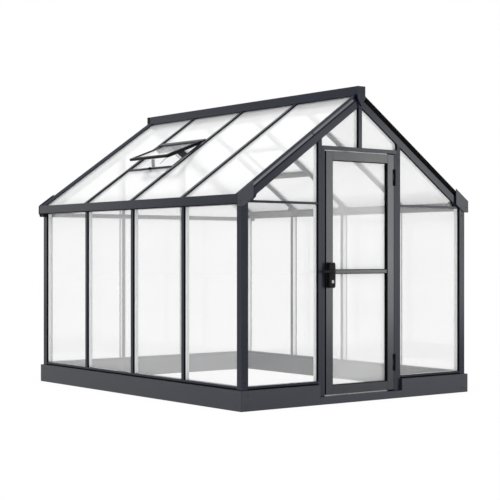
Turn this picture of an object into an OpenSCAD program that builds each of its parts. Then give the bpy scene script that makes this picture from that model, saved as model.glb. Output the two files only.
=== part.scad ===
// Gabled greenhouse with a slim metal frame, clear panels, one hinged door and two roof vents.
// The front faces -Y, the ground is Z = 0 and the origin lies in the middle of the footprint.

/* [Base] */
// Outer width of the base frame
base_w = 2000; // [1900:10:2200]
// Outer length of the base frame
base_l = 2540; // [2400:10:3000]
// Height of the base frame
base_h = 128; // [110:1:150]
// Depth of the base frame from its outer to its inner face
base_d = 72; // [68:1:100]
// Height of the threshold under the door
threshold_h = 50; // [40:1:80]
// Height of the sill rails on the base
sill_h = 22; // [15:1:30]
// Depth of the sill rails
sill_d = 42; // [40:1:46]
// Distance of the sill rails behind the faces of the posts
sill_set = 4; // [2:1:8]

/* [Posts and studs] */
// Side of the square corner posts
post_w = 50; // [46:1:60]
// Distance of the posts behind the faces of the base
post_set = 16; // [8:1:18]
// Outer width of a wall stud
stud_w = 30; // [26:1:40]
// Depth of a wall stud
stud_d = 40; // [36:1:48]
// Width of a stud or rafter where the panels meet it
web_w = 22; // [16:1:24]
// Distance of each back stud from the middle as a share of the half width of the walls
back_stud_share = 0.295; // [0.28:0.005:0.4]
// Height of the posts up to the flat underside of the eaves beams
eave_h = 1273; // [1200:1:1400]

/* [Panels] */
// Thickness of a clear panel
panel_t = 4; // [3:0.5:6]
// Distance of the panels behind the faces of the posts
panel_set = 21; // [18:1:26]
// Space left between a panel or post and a sloping face above it
seat = 0.3; // [0.2:0.05:0.5]

/* [Rails] */
// Height of the slim rails beside the door at eaves level
front_rail_h = 16; // [12:1:24]
// Height of the middle of these rails over the posts
front_rail_up = 22; // [15:1:30]
// Height of the rails across the back wall
back_rail_h = 32; // [20:1:40]
// Distance of the middle of the back rails under the top of the posts
back_rail_down = 4; // [0:1:20]
// Depth of these rails
rail_d = 24; // [16:1:30]

/* [Roof] */
// Slope of the roof in degrees
pitch = 35; // [32:0.5:38]
// Depth of the gable rafters, and of the feet of the inner rafters, under their seat
rafter_under = 45; // [38:1:50]
// Depth of the inner rafters under their seat
bar_under = 4; // [4:1:12]
// Height of the inner rafters over their seat
rafter_over = 30; // [26:1:36]
// Width of the gable rafters
gable_w = 40; // [38:1:46]
// Distance of the gable rafters behind the faces of the posts
gable_set = 8; // [6:1:12]
// Height of the panels over the rafter seat
roof_panel_up = 16; // [12:1:18]
// Depth of the shadow groove in the gable rafters
groove_d = 8; // [5:1:12]
// Height of this groove
groove_h = 4; // [3:0.5:6]
// Depth of the sloping ledge over the groove
ledge_d = 18; // [14:1:22]
// Height of the sloping ledge
ledge_h = 20; // [18:1:22]
// Height over the seat at which the lip of the gable rafters starts
lip_low = 24; // [23:1:28]
// Distance of the lip behind the face of the gable rafters
lip_set = 3; // [2:1:6]
// Height of the front edge of the lip over the seat
lip_front = 40; // [36:1:44]
// Distance of the crest of the lip behind the face
crest_set = 12; // [8:1:16]
// Height of the crest over the seat
crest = 41; // [36:1:44]
// Height of the gable rafters over the seat at their back
gable_back = 30; // [26:1:36]
// Reach of the eaves beams in front of the posts
eave_reach = 34; // [24:1:44]
// Reach of the eaves beams behind the posts
eave_lap = 38; // [20:1:44]
// Width of the posts under the flat foot of the eaves beams
knee_set = 24; // [20:0.5:34]
// Height of the outer face of the eaves beams
eave_face = 65; // [55:1:75]
// Thickness of the outer lip of the eaves beams
eave_lip = 6; // [4:1:8]
// Depth of the eaves beams at the panel seat
eave_seat_d = 33; // [26:1:40]
// Thickness of the floor of the eaves beams
eave_floor = 8; // [6:1:10]
// Space between the roof panels and the outer lip
panel_end = 2; // [1:0.5:4]
// Thickness of the end caps on the eaves beams
eave_cap_t = 6; // [4:1:10]
// Reach of these end caps under the eaves beams
eave_cap_drop = 11; // [6:1:18]
// Height of the sloping edge of these end caps over the rafter seat
eave_cap_over = 45; // [42:1:50]

/* [Ridge] */
// Width of the ridge beam
ridge_w = 65; // [56:1:80]
// Height of the top of the ridge beam over the meeting of the rafter seats
ridge_over = 74; // [66:1:90]
// Height of the sides of the ridge beam
ridge_side_h = 60; // [50:1:66]
// Width of the keel under the ridge beam
keel_w = 40; // [34:1:50]
// Distance of the underside of the keel under the meeting of the rafter seats
keel_under = 70; // [69:0.5:76]
// Width of the ridge end caps
ridge_cap_w = 67; // [66:1:84]
// Thickness of the ridge end caps
ridge_cap_t = 10; // [6:1:15]
// Height of the straight sides of the ridge end caps
ridge_cap_side = 82; // [70:1:100]
// Height of the ridge end caps down to their tip
ridge_cap_h = 134; // [110:1:140]

/* [Doorway] */
// Width of the door leaf
door_w = 602; // [560:2:640]
// Distance of the top of the door leaf under the rafters at the jambs
door_drop = 54.7; // [45:0.1:100]
// Thickness of the door leaf
door_t = 34; // [30:1:36]
// Space beside and over the door leaf
door_gap = 6; // [5.5:0.5:8]
// Space between the door leaf and the threshold
door_floor_gap = 8; // [6:1:12]
// Width of the door frame stiles
frame_stile_w = 27; // [22:1:34]
// Height of the door header
header_h = 26; // [20:1:30]
// Width of the jambs and the gable mullion
jamb_w = 28; // [24:1:36]
// Distance of the jambs behind the faces of the posts
jamb_set = 4; // [2:1:6]
// Depth of the jambs
jamb_d = 46; // [44:1:50]
// Depth of the door stop behind the leaf
stop_d = 6; // [5:1:7]
// Reach of the door stop behind the leaf
stop_reach = 18; // [12:1:24]

/* [Door leaf] */
// Width of the door stiles
stile_w = 58; // [50:1:70]
// Height of the top and bottom rails
door_rail_h = 60; // [50:1:80]
// Height of the middle of the glazing bar
mid_bar_z = 854; // [800:1:900]
// Height of the glazing bar
mid_bar_h = 24; // [16:1:30]
// Distance of the glazing bar behind the face of the leaf
mid_bar_set = 5; // [2:1:8]
// Distance of the door panels behind the face of the leaf
door_panel_set = 26; // [22:1:26]

/* [Hinges] */
// Distance of the hinge axis in front of the door
hinge_out = 8; // [8:0.5:12]
// Radius of the knuckles
knuckle_r = 7; // [6:0.5:7]
// Radius of the pin
pin_r = 4; // [3:0.5:4.5]
// Clearance between pin and knuckle
pin_fit = 0.05; // [0.03:0.01:0.08]
// Length of a hinge
hinge_l = 112; // [90:1:130]
// Space between the knuckles of a hinge
knuckle_gap = 0.6; // [0.4:0.1:1]
// Height of the middle of the lower hinge over the foot of the door
hinge_up = 183; // [120:1:260]
// Distance of the middle of the upper hinge under the top of the door
hinge_down = 153; // [100:1:240]
// Width of a hinge leaf
leaf_w = 10; // [8:1:14]

/* [Lock] */
// Width of the lock case
case_w = 54; // [46:1:56]
// Height of the lock case
case_h = 165; // [140:1:180]
// Depth of the lock case
case_d = 32; // [26:1:40]
// Corner radius of the lock case
case_r = 8; // [4:1:12]
// Height of the middle of the lock case
case_z = 832; // [820:1:840]
// Height of the lever over the middle of the lock case
lever_up = 25; // [15:1:35]
// Length of the lever from its spindle
lever_l = 100; // [80:1:110]
// Height of the lever
lever_h = 22; // [16:1:24]
// Thickness of the lever
lever_t = 13; // [10:1:16]
// Space between the lever and the lock case
lever_off = 8; // [6:1:12]
// Radius of the spindle
spindle_r = 8; // [6:0.5:9]
// Depth of the spindle in the lock case
spindle_in = 20; // [12:1:24]
// Clearance around the spindle
spindle_fit = 0.05; // [0.03:0.01:0.08]
// Distance of the key cylinder under the middle of the lock case
key_down = 42; // [30:1:55]
// Radius of the key cylinder
key_r = 11; // [8:1:13]
// Height of the key cylinder on the lock case
key_t = 3; // [2:0.5:6]

/* [Vents] */
// Distance of the vent hinges from the apex along the slope
vent_u = 424; // [380:1:460]
// Length of a vent along the slope
vent_l = 330; // [300:1:360]
// Width of the bars of a vent frame
vent_bar_w = 24; // [18:1:30]
// Half thickness of a vent frame and of the bar that holds it
vent_half_t = 8; // [7.5:0.5:10]
// Radius of the rolled hinge edge
roll_r = 6; // [5:0.5:6.5]
// Clearance around the rolled hinge edge
roll_fit = 0.3; // [0.2:0.05:0.4]
// Half thickness of the web behind the rolled edge
roll_web = 3; // [2:0.5:4]
// Distance of a vent from the middle of the rafter on its door side
vent_front = 40; // [30:1:60]
// Distance of a vent from the middle of the rafter on its back side
vent_back = 100; // [30:1:110]
// Reach of the side strips under a vent
strip_lap = 10; // [5:1:15]
// Opening of the left vent in degrees
vent_open = 14; // [8:1:30]
// Width of the bars above and below a vent opening
trimmer_w = 24; // [18:1:30]
// Depth of the lower bar under the rafter seat
trimmer_under = 4; // [2:1:10]
// Reach of a vent over the lower bar
vent_lap = 19; // [12:1:20]
// Thickness of the stay that holds the left vent
stay_t = 6; // [4:1:8]
// Width of the stay
stay_w = 20; // [14:1:26]

/* [Hidden] */
wall_x = base_w / 2 - post_set;
wall_y = base_l / 2 - post_set;
post_x = wall_x - post_w;
post_y = wall_y - post_w;
stud_pitch = (2 * wall_y - post_w) / 4;
back_stud_x = back_stud_share * wall_x;
eave_out = wall_x + eave_reach;
eave_in = post_x - eave_lap;
eave_knee = wall_x - knee_set;
under_apex = eave_h + eave_knee * tan(pitch);
apex_h = under_apex + rafter_under / cos(pitch);
beam_y = wall_y;
eave_top = eave_h + eave_face;
eave_bed = eave_h + eave_floor;
seat_x = eave_out - eave_seat_d;
panel_end_x = eave_out - eave_lip - panel_end;
roof_panel_top = roof_panel_up + panel_t;
ridge_top = apex_h + ridge_over;
ridge_low = ridge_top - ridge_side_h;
keel_low = apex_h - keel_under;
front_rail_z = eave_h + front_rail_up;
back_rail_z = eave_h - back_rail_down;
glass_x = wall_x - panel_set;
glass_y = wall_y - panel_set;
sill_top = base_h + sill_h;
front_rail_low = front_rail_z - front_rail_h / 2;
front_rail_top = front_rail_z + front_rail_h / 2;
back_rail_low = back_rail_z - back_rail_h / 2;
back_rail_top = back_rail_z + back_rail_h / 2;
door_x = door_w / 2;
door_low = threshold_h + door_floor_gap;
frame_in = door_x + door_gap;
frame_out = frame_in + frame_stile_w;
jamb_out = frame_out + jamb_w;
door_top = under(jamb_out) - door_drop;
header_low = door_top + door_gap;
header_top = header_low + header_h;
jamb_y = wall_y - jamb_set;
gable_y = wall_y - gable_set;
gable_in = gable_y - gable_w;
hinge_x = door_x + door_gap / 2;
hinge_y = -wall_y - hinge_out;
third = (hinge_l - 2 * knuckle_gap) / 3;
hinge_low_z = door_low + hinge_up;
hinge_high_z = door_top - hinge_down;
leaf_x = door_x - stile_w;
case_x = -door_x + stile_w / 2;
case_y = -wall_y - case_d;
lever_z = case_z + lever_up;
lever_y = case_y - lever_off - lever_t;
rafter_l = base_w;
foot_u = (eave_in + rafter_under * sin(pitch)) / cos(pitch) + seat;
vent_tip = vent_u + vent_l;
trimmer_u = vent_tip - vent_lap;
vent_y0 = vent_front;
vent_y1 = stud_pitch - vent_back;
vent_up = roof_panel_top + seat + vent_half_t;
over = 1;
around = 96;
frame_color = "#3b3d42";
clear_color = "#e8edf0";
black_color = "#141415";
steel_color = "#c8c8ca";

// Height of a line parallel to the slope at a distance from the middle, and the reverse
function on(x, across) = apex_h + across / cos(pitch) - x * tan(pitch);
function at(z, across) = (apex_h + across / cos(pitch) - z) / tan(pitch);

// Height of the underside of the rafters at a distance from the middle
function under(x) = on(x, -rafter_under);

// A point of the left vent in the plane of slope and height, from its hinge along and across
function vent_point(along, across) =
    [vent_u + along * cos(vent_open) - across * sin(vent_open),
     vent_up + along * sin(vent_open) + across * cos(vent_open)];

// Both sides of the middle plane
module both() {
    children();
    mirror([1, 0, 0]) children();
}

// Front and back
module ends() {
    children();
    mirror([0, 1, 0]) children();
}

// A block between two corners
module block(a, b) {
    translate(a) cube(b - a);
}

// An outline of width and height drawn through from one depth to another
module through_y(y0, y1) {
    translate([0, y1, 0]) rotate([90, 0, 0]) linear_extrude(y1 - y0) children();
}

// Shapes in the slope of the right roof: along the slope, along the ridge, across the slope
module in_slope() {
    translate([0, 0, apex_h]) rotate([0, pitch, 0]) children();
}

// The same, ended by the ridge beam and by the bed, seat and lip of the eaves beam
module between_ridge_and_eave() {
    bed = eave_floor - rafter_under + seat;
    intersection() {
        in_slope() children();
        through_y(-base_l, base_l) polygon([[keel_w / 2, 0], [eave_in, 0], [eave_in, on(eave_in, bed)],
            [at(eave_bed + seat, bed), eave_bed + seat], [seat_x, eave_bed + seat],
            [seat_x, on(seat_x, roof_panel_up - seat / 2)],
            [panel_end_x, on(panel_end_x, roof_panel_up - seat / 2)], [panel_end_x, 2 * apex_h],
            [ridge_w / 2, 2 * apex_h], [ridge_w / 2, ridge_low], [keel_w / 2, ridge_low]]);
    }
}

// An outline along the ridge and across the slope, drawn down the slope
module down_slope(length) {
    rotate([90, 0, 90]) linear_extrude(length) children();
}

// Outline of the base corner areas seen from above, for mitred corners
module side_area() {
    polygon([[base_w / 2, base_l / 2], [base_w / 2 - base_d, base_l / 2 - base_d],
        [base_w / 2 - base_d, base_d - base_l / 2], [base_w / 2, -base_l / 2]]);
}

module base_sides() {
    color(frame_color) both() linear_extrude(base_h) side_area();
}

module base_ends() {
    color(frame_color) {
        linear_extrude(base_h) polygon([[base_w / 2, base_l / 2], [-base_w / 2, base_l / 2],
            [base_d - base_w / 2, base_l / 2 - base_d], [base_w / 2 - base_d, base_l / 2 - base_d]]);
        both() linear_extrude(base_h) polygon([[base_w / 2, -base_l / 2],
            [base_w / 2 - base_d, base_d - base_l / 2], [jamb_out, base_d - base_l / 2],
            [jamb_out, -base_l / 2]]);
    }
}

module threshold() {
    color(frame_color)
        block([-jamb_out, -base_l / 2, 0], [jamb_out, base_d - base_l / 2, threshold_h]);
}

module sill_rails() {
    color(frame_color) {
        both() block([wall_x - sill_set - sill_d, -post_y, base_h],
            [wall_x - sill_set, post_y, sill_top]);
        block([-post_x, wall_y - sill_set - sill_d, base_h], [post_x, wall_y - sill_set, sill_top]);
        both() block([jamb_out, sill_set - wall_y, base_h],
            [post_x, sill_set + sill_d - wall_y, sill_top]);
    }
}

// Outline of a post or stud under the eaves beam, from a given foot
module upright_outline(foot) {
    polygon([[post_x, foot], [wall_x, foot], [wall_x, eave_h], [eave_knee, eave_h],
        [post_x, under(post_x) - seat]]);
}

module corner_posts() {
    color(frame_color) both() ends() through_y(post_y, wall_y) upright_outline(base_h);
}

// Outline of a stud seen from above, with its face at zero
module stud_outline() {
    translate([-panel_set, -stud_w / 2]) square([panel_set, stud_w]);
    translate([-stud_d, -web_w / 2]) square([stud_d, web_w]);
}

module right_studs() {
    color(frame_color) for (k = [-1:1])
        intersection() {
            translate([wall_x, k * stud_pitch, sill_top]) linear_extrude(eave_h) stud_outline();
            through_y(-wall_y, wall_y) upright_outline(sill_top);
        }
}

module left_studs() {
    mirror([1, 0, 0]) right_studs();
}

module back_studs() {
    color(frame_color) both() intersection() {
        translate([back_stud_x, wall_y, sill_top]) rotate([0, 0, 90]) linear_extrude(apex_h) stud_outline();
        through_y(post_y, wall_y) polygon([[0, sill_top], [post_x, sill_top],
            [post_x, under(post_x) - seat], [0, under(0) - seat]]);
    }
}

// Outline of the right eaves beam: outer face and lip, panel seat, bed for the rafters, sloping underside
module eaves_outline() {
    lip_x = eave_out - eave_lip;
    bed = eave_floor - rafter_under;
    polygon([[eave_in, under(eave_in)], [eave_knee, eave_h], [eave_out, eave_h], [eave_out, eave_top],
        [lip_x, eave_top], [lip_x, on(lip_x, roof_panel_up - seat)],
        [seat_x, on(seat_x, roof_panel_up - seat)], [seat_x, eave_bed],
        [at(eave_bed, bed), eave_bed], [eave_in, on(eave_in, bed)]]);
}

module right_eaves_beam() {
    color(frame_color) through_y(-beam_y, beam_y) eaves_outline();
}

module left_eaves_beam() {
    mirror([1, 0, 0]) right_eaves_beam();
}

module gutter_end_caps() {
    foot = eave_h - eave_cap_drop;
    color(frame_color) both() ends() through_y(beam_y, beam_y + eave_cap_t)
        polygon([[eave_in, on(eave_in, eave_cap_over)], [eave_out, on(eave_out, eave_cap_over)],
            [eave_out, foot], [at(foot, -rafter_under), foot], [eave_in, under(eave_in)]]);
}

module front_rails() {
    color(frame_color) both() through_y(-glass_y - rail_d / 2, rail_d / 2 - glass_y)
        polygon([[jamb_out, front_rail_low], [post_x, front_rail_low],
            [post_x, min(front_rail_top, under(post_x) - seat)],
            [min(post_x, (under_apex - seat - front_rail_top) / tan(pitch)), front_rail_top],
            [jamb_out, front_rail_top]]);
}

module back_rails() {
    color(frame_color) {
        both() block([back_stud_x + stud_w / 2, glass_y - rail_d / 2, back_rail_low],
            [post_x, glass_y + rail_d / 2, back_rail_top]);
        block([stud_w / 2 - back_stud_x, glass_y - rail_d / 2, back_rail_low],
            [back_stud_x - stud_w / 2, glass_y + rail_d / 2, back_rail_top]);
    }
}

module jambs() {
    color(frame_color) both() through_y(-jamb_y, jamb_d - jamb_y)
        polygon([[frame_out, threshold_h], [jamb_out, threshold_h], [jamb_out, under(jamb_out) - seat],
            [frame_out, under(frame_out) - seat]]);
}

module door_frame_stiles() {
    color(frame_color) both() {
        block([frame_in, -jamb_y, threshold_h], [frame_out, jamb_d - jamb_y, header_low]);
        block([door_x - stop_reach, jamb_d - jamb_y - stop_d, threshold_h],
            [frame_out, jamb_d - jamb_y, header_low]);
    }
}

module door_header() {
    color(frame_color) block([-frame_out, -jamb_y, header_low], [frame_out, jamb_d - jamb_y, header_top]);
}

module front_mullion() {
    color(frame_color) block([-jamb_w / 2, -jamb_y, header_top], [jamb_w / 2, jamb_d - jamb_y, keel_low]);
}

// Outline of a gable rafter: body, shadow groove, sloping ledge and overhanging lip
module gable_outline() {
    polygon([[gable_y, -rafter_under], [gable_y, 0], [gable_y - groove_d, 0],
        [gable_y - groove_d, groove_h], [gable_y - groove_h, groove_h], [gable_y - ledge_d, ledge_h],
        [gable_y - ledge_d, lip_low], [gable_y - lip_set, lip_low], [gable_y - lip_set, lip_front],
        [gable_y - crest_set, crest], [gable_in, gable_back], [gable_in, -rafter_under]]);
}

module back_rafters() {
    color(frame_color) both() between_ridge_and_eave() down_slope(rafter_l) gable_outline();
}

module front_rafters() {
    mirror([0, 1, 0]) back_rafters();
}

// Outline of a rafter between the panels
module rafter_outline() {
    translate([-web_w / 2, -bar_under]) square([web_w, bar_under + roof_panel_top]);
    translate([-stud_w / 2, roof_panel_top]) square([stud_w, rafter_over - roof_panel_top]);
}

// Outline of the foot of a rafter on the bed of the eaves beam
module foot_outline() {
    translate([-web_w / 2, -rafter_under]) square([web_w, rafter_under]);
}

module right_rafters() {
    color(frame_color) for (k = [-1:1])
        between_ridge_and_eave() translate([0, k * stud_pitch, 0]) {
            down_slope(rafter_l) rafter_outline();
            translate([foot_u, 0, 0]) down_slope(rafter_l - foot_u) foot_outline();
        }
}

module left_rafters() {
    mirror([1, 0, 0]) right_rafters();
}

module ridge_beam() {
    color(frame_color) through_y(-beam_y, beam_y) {
        translate([-ridge_w / 2, ridge_low]) square([ridge_w, ridge_side_h]);
        translate([-keel_w / 2, keel_low]) square([keel_w, ridge_top - keel_low]);
    }
}

module ridge_caps() {
    color(frame_color) ends() through_y(beam_y, beam_y + ridge_cap_t)
        polygon([[-ridge_cap_w / 2, ridge_top], [-ridge_cap_w / 2, ridge_top - ridge_cap_side],
            [0, ridge_top - ridge_cap_h], [ridge_cap_w / 2, ridge_top - ridge_cap_side],
            [ridge_cap_w / 2, ridge_top]]);
}

// Start and end of a side bay between the uprights
function bay_start(k) = k == -2 ? -post_y : k * stud_pitch + web_w / 2;
function bay_end(k) = k == 1 ? post_y : (k + 1) * stud_pitch - web_w / 2;

module right_panels() {
    color(clear_color) for (k = [-2:1])
        block([glass_x - panel_t, bay_start(k), sill_top],
            [glass_x, bay_end(k), max(eave_h, under(glass_x) - seat)]);
}

module left_panels() {
    mirror([1, 0, 0]) right_panels();
}

module front_panels() {
    color(clear_color) both() {
        block([jamb_out, -glass_y, sill_top], [post_x, panel_t - glass_y, front_rail_low]);
        through_y(-glass_y, panel_t - glass_y) polygon([[jamb_out, front_rail_top],
            [(under_apex - seat - front_rail_top) / tan(pitch), front_rail_top],
            [jamb_out, under(jamb_out) - seat]]);
    }
}

module gable_panels() {
    color(clear_color) both() through_y(-glass_y, panel_t - glass_y)
        polygon([[jamb_w / 2, header_top], [frame_out, header_top], [frame_out, under(frame_out) - seat],
            [at(keel_low - seat, -rafter_under), keel_low - 2 * seat], [jamb_w / 2, keel_low - 2 * seat]]);
}

module back_panels() {
    color(clear_color) {
        both() block([back_stud_x + web_w / 2, glass_y - panel_t, sill_top], [post_x, glass_y, back_rail_low]);
        block([web_w / 2 - back_stud_x, glass_y - panel_t, sill_top],
            [back_stud_x - web_w / 2, glass_y, back_rail_low]);
        both() through_y(glass_y - panel_t, glass_y) polygon([[back_stud_x + web_w / 2, back_rail_top],
            [post_x, back_rail_top], [post_x, under(post_x) - seat],
            [back_stud_x + web_w / 2, under(back_stud_x + web_w / 2) - seat]]);
        through_y(glass_y - panel_t, glass_y) polygon([[web_w / 2 - back_stud_x, back_rail_top],
            [back_stud_x - web_w / 2, back_rail_top],
            [back_stud_x - web_w / 2, under(back_stud_x - web_w / 2) - seat],
            [at(keel_low - seat, -rafter_under), keel_low - 2 * seat],
            [-at(keel_low - seat, -rafter_under), keel_low - 2 * seat],
            [web_w / 2 - back_stud_x, under(back_stud_x - web_w / 2) - seat]]);
    }
}

// Start and end of a roof bay between the rafters
function roof_start(k) = k == -2 ? -gable_in : k * stud_pitch + web_w / 2;
function roof_end(k) = k == 1 ? gable_in : (k + 1) * stud_pitch - web_w / 2;

// A roof panel between two places down the slope and two along the ridge
module roof_panel(u0, u1, y0, y1) {
    between_ridge_and_eave() block([u0, y0, roof_panel_up], [u1, y1, roof_panel_top]);
}

module right_roof_panels() {
    color(clear_color) {
        for (k = [-2, -1, 1])
            roof_panel(0, rafter_l, roof_start(k), roof_end(k));
        roof_panel(0, vent_u, roof_start(0), roof_end(0));
        roof_panel(trimmer_u + trimmer_w, rafter_l, roof_start(0), roof_end(0));
        roof_panel(vent_u, trimmer_u, roof_start(0), vent_y0 + strip_lap);
        roof_panel(vent_u, trimmer_u, vent_y1 - strip_lap, roof_end(0));
    }
}

module left_roof_panels() {
    mirror([1, 0, 0]) right_roof_panels();
}

// Upper bar with the hollow for the rolled edge, and lower bar of a vent opening
module opening_bars() {
    in_slope() difference() {
        block([vent_u - trimmer_w, stud_w / 2, vent_up - vent_half_t],
            [vent_u, stud_pitch - stud_w / 2, vent_up + vent_half_t]);
        translate([vent_u, 0, vent_up]) rotate([-90, 0, 0])
            cylinder(r = roll_r + roll_fit, h = stud_pitch, $fn = around);
    }
    in_slope() block([trimmer_u, web_w / 2, -trimmer_under],
        [trimmer_u + trimmer_w, stud_pitch - web_w / 2, roof_panel_top]);
}

module vent_bars() {
    color(frame_color) both() opening_bars();
}

// A vent frame with its rolled edge, turned open about the edge
module vent_frame(angle) {
    in_slope() translate([vent_u, 0, vent_up]) rotate([0, -angle, 0]) {
        translate([0, vent_y0, 0]) rotate([-90, 0, 0])
            cylinder(r = roll_r, h = vent_y1 - vent_y0, $fn = around);
        block([0, vent_y0, -roll_web], [roll_r + over, vent_y1, roll_web]);
        difference() {
            block([roll_r, vent_y0, -vent_half_t], [vent_l, vent_y1, vent_half_t]);
            block([roll_r + vent_bar_w, vent_y0 + vent_bar_w, -vent_half_t - over],
                [vent_l - vent_bar_w, vent_y1 - vent_bar_w, vent_half_t + over]);
        }
    }
}

module left_vent_frame() {
    color(frame_color) mirror([1, 0, 0]) vent_frame(vent_open);
}

module right_vent_frame() {
    color(frame_color) vent_frame(0);
}

// The clear panel in a vent frame
module vent_panel(angle) {
    in_slope() translate([vent_u, 0, vent_up]) rotate([0, -angle, 0])
        block([roll_r + vent_bar_w, vent_y0 + vent_bar_w, -panel_t / 2],
            [vent_l - vent_bar_w, vent_y1 - vent_bar_w, panel_t / 2]);
}

module vent_panels() {
    color(clear_color) {
        mirror([1, 0, 0]) vent_panel(vent_open);
        vent_panel(0);
    }
}

module vent_stay() {
    foot = trimmer_u + trimmer_w / 2;
    head = vent_l - vent_bar_w / 2;
    color(frame_color) mirror([1, 0, 0]) in_slope()
        through_y((vent_y0 + vent_y1 - stay_w) / 2, (vent_y0 + vent_y1 + stay_w) / 2)
        polygon([[foot - stay_t / 2, roof_panel_top], [foot + stay_t / 2, roof_panel_top],
            vent_point(head + stay_t / 2, -vent_half_t - seat),
            vent_point(head - stay_t / 2, -vent_half_t - seat)]);
}

// Pins with the two outer knuckles and the leaves on the door frame
module hinge_pins() {
    color(black_color) for (z = [hinge_low_z, hinge_high_z])
        translate([hinge_x, hinge_y, z - hinge_l / 2]) {
            cylinder(r = pin_r, h = hinge_l, $fn = around);
            for (k = [0, 2])
                translate([0, 0, k * (third + knuckle_gap)]) {
                    cylinder(r = knuckle_r, h = third, $fn = around);
                    block([door_gap / 2, 0, 0], [door_gap / 2 + leaf_w, hinge_out + jamb_set, third]);
                }
        }
}

module hinge_knuckles() {
    color(black_color) for (z = [hinge_low_z, hinge_high_z])
        translate([hinge_x, hinge_y, z - third / 2]) difference() {
            union() {
                cylinder(r = knuckle_r, h = third, $fn = around);
                block([-door_gap / 2 - leaf_w, 0, 0], [-door_gap / 2, hinge_out, third]);
            }
            translate([0, 0, -over]) cylinder(r = pin_r + pin_fit, h = third + 2 * over, $fn = around);
        }
}

module hinge_stile() {
    color(frame_color) block([leaf_x, -wall_y, door_low], [door_x, door_t - wall_y, door_top]);
}

module latch_stile() {
    color(frame_color) block([-door_x, -wall_y, door_low], [-leaf_x, door_t - wall_y, door_top]);
}

module door_rails() {
    color(frame_color) {
        block([-leaf_x, -wall_y, door_low], [leaf_x, door_t - wall_y, door_low + door_rail_h]);
        block([-leaf_x, -wall_y, door_top - door_rail_h], [leaf_x, door_t - wall_y, door_top]);
    }
}

module door_mid_bar() {
    color(frame_color) block([-leaf_x, mid_bar_set - wall_y, mid_bar_z - mid_bar_h / 2],
        [leaf_x, door_t - wall_y, mid_bar_z + mid_bar_h / 2]);
}

module door_panels() {
    y0 = door_panel_set - wall_y;
    color(clear_color) {
        block([-leaf_x, y0, door_low + door_rail_h], [leaf_x, y0 + panel_t, mid_bar_z - mid_bar_h / 2]);
        block([-leaf_x, y0, mid_bar_z + mid_bar_h / 2], [leaf_x, y0 + panel_t, door_top - door_rail_h]);
    }
}

// Upright outline of the lock case with round corners
module case_outline() {
    square([case_w - 2 * case_r, case_h], center = true);
    square([case_w, case_h - 2 * case_r], center = true);
    for (x = [-1, 1], z = [-1, 1])
        translate([x * (case_w / 2 - case_r), z * (case_h / 2 - case_r)]) circle(r = case_r, $fn = around);
}

module lock_case() {
    color(black_color) difference() {
        translate([case_x, 0, case_z]) through_y(case_y, -wall_y) case_outline();
        translate([case_x, case_y - over, lever_z]) rotate([-90, 0, 0])
            cylinder(r = spindle_r + spindle_fit, h = spindle_in + 2 * over, $fn = around);
    }
}

module key_cylinder() {
    color(steel_color) translate([case_x, case_y - key_t, case_z - key_down]) rotate([-90, 0, 0])
        cylinder(r = key_r, h = key_t, $fn = around);
}

module lever() {
    color(black_color) {
        translate([case_x, lever_y, lever_z]) rotate([-90, 0, 0])
            cylinder(r = lever_h / 2, h = lever_t, $fn = around);
        block([case_x - lever_l, lever_y, lever_z - lever_h / 2],
            [case_x, lever_y + lever_t, lever_z + lever_h / 2]);
        translate([case_x, lever_y + lever_t, lever_z]) rotate([-90, 0, 0])
            cylinder(r = spindle_r, h = lever_off + spindle_in, $fn = around);
    }
}

base_sides();
base_ends();
threshold();
sill_rails();
corner_posts();
left_studs();
right_studs();
back_studs();
left_eaves_beam();
right_eaves_beam();
gutter_end_caps();
front_rails();
back_rails();
jambs();
door_frame_stiles();
door_header();
front_mullion();
front_rafters();
back_rafters();
left_rafters();
right_rafters();
ridge_beam();
ridge_caps();
left_panels();
right_panels();
front_panels();
gable_panels();
back_panels();
left_roof_panels();
right_roof_panels();
vent_bars();
left_vent_frame();
right_vent_frame();
vent_panels();
vent_stay();
hinge_pins();
hinge_stile();
latch_stile();
door_rails();
door_mid_bar();
door_panels();
lock_case();
key_cylinder();
hinge_knuckles();
lever();
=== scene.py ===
import math
import bmesh
import bpy
import numpy as np
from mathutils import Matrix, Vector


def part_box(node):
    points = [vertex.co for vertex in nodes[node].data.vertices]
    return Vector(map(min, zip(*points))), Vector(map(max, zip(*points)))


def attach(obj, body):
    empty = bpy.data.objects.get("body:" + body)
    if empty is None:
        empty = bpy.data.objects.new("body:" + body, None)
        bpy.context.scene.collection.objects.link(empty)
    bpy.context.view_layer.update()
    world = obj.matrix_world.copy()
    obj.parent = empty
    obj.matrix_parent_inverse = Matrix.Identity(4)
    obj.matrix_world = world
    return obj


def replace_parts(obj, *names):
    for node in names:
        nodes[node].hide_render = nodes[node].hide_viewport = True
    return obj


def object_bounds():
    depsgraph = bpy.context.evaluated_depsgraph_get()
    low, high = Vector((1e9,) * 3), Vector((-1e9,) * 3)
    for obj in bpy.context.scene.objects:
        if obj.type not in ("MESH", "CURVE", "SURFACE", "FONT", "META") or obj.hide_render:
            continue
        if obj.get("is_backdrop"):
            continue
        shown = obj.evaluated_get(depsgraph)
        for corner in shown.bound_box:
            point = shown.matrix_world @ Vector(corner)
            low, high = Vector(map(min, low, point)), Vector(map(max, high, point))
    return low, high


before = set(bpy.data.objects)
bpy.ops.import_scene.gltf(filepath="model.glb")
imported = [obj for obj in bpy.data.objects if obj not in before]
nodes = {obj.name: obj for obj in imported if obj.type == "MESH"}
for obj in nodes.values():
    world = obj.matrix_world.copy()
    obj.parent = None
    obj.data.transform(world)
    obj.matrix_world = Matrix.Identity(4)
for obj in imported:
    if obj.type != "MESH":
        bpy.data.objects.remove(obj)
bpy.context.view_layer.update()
scene = bpy.context.scene
scene.view_settings.view_transform = "Standard"
mm = 0.001
print("frame loaded:", len(nodes), "nodes")

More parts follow.
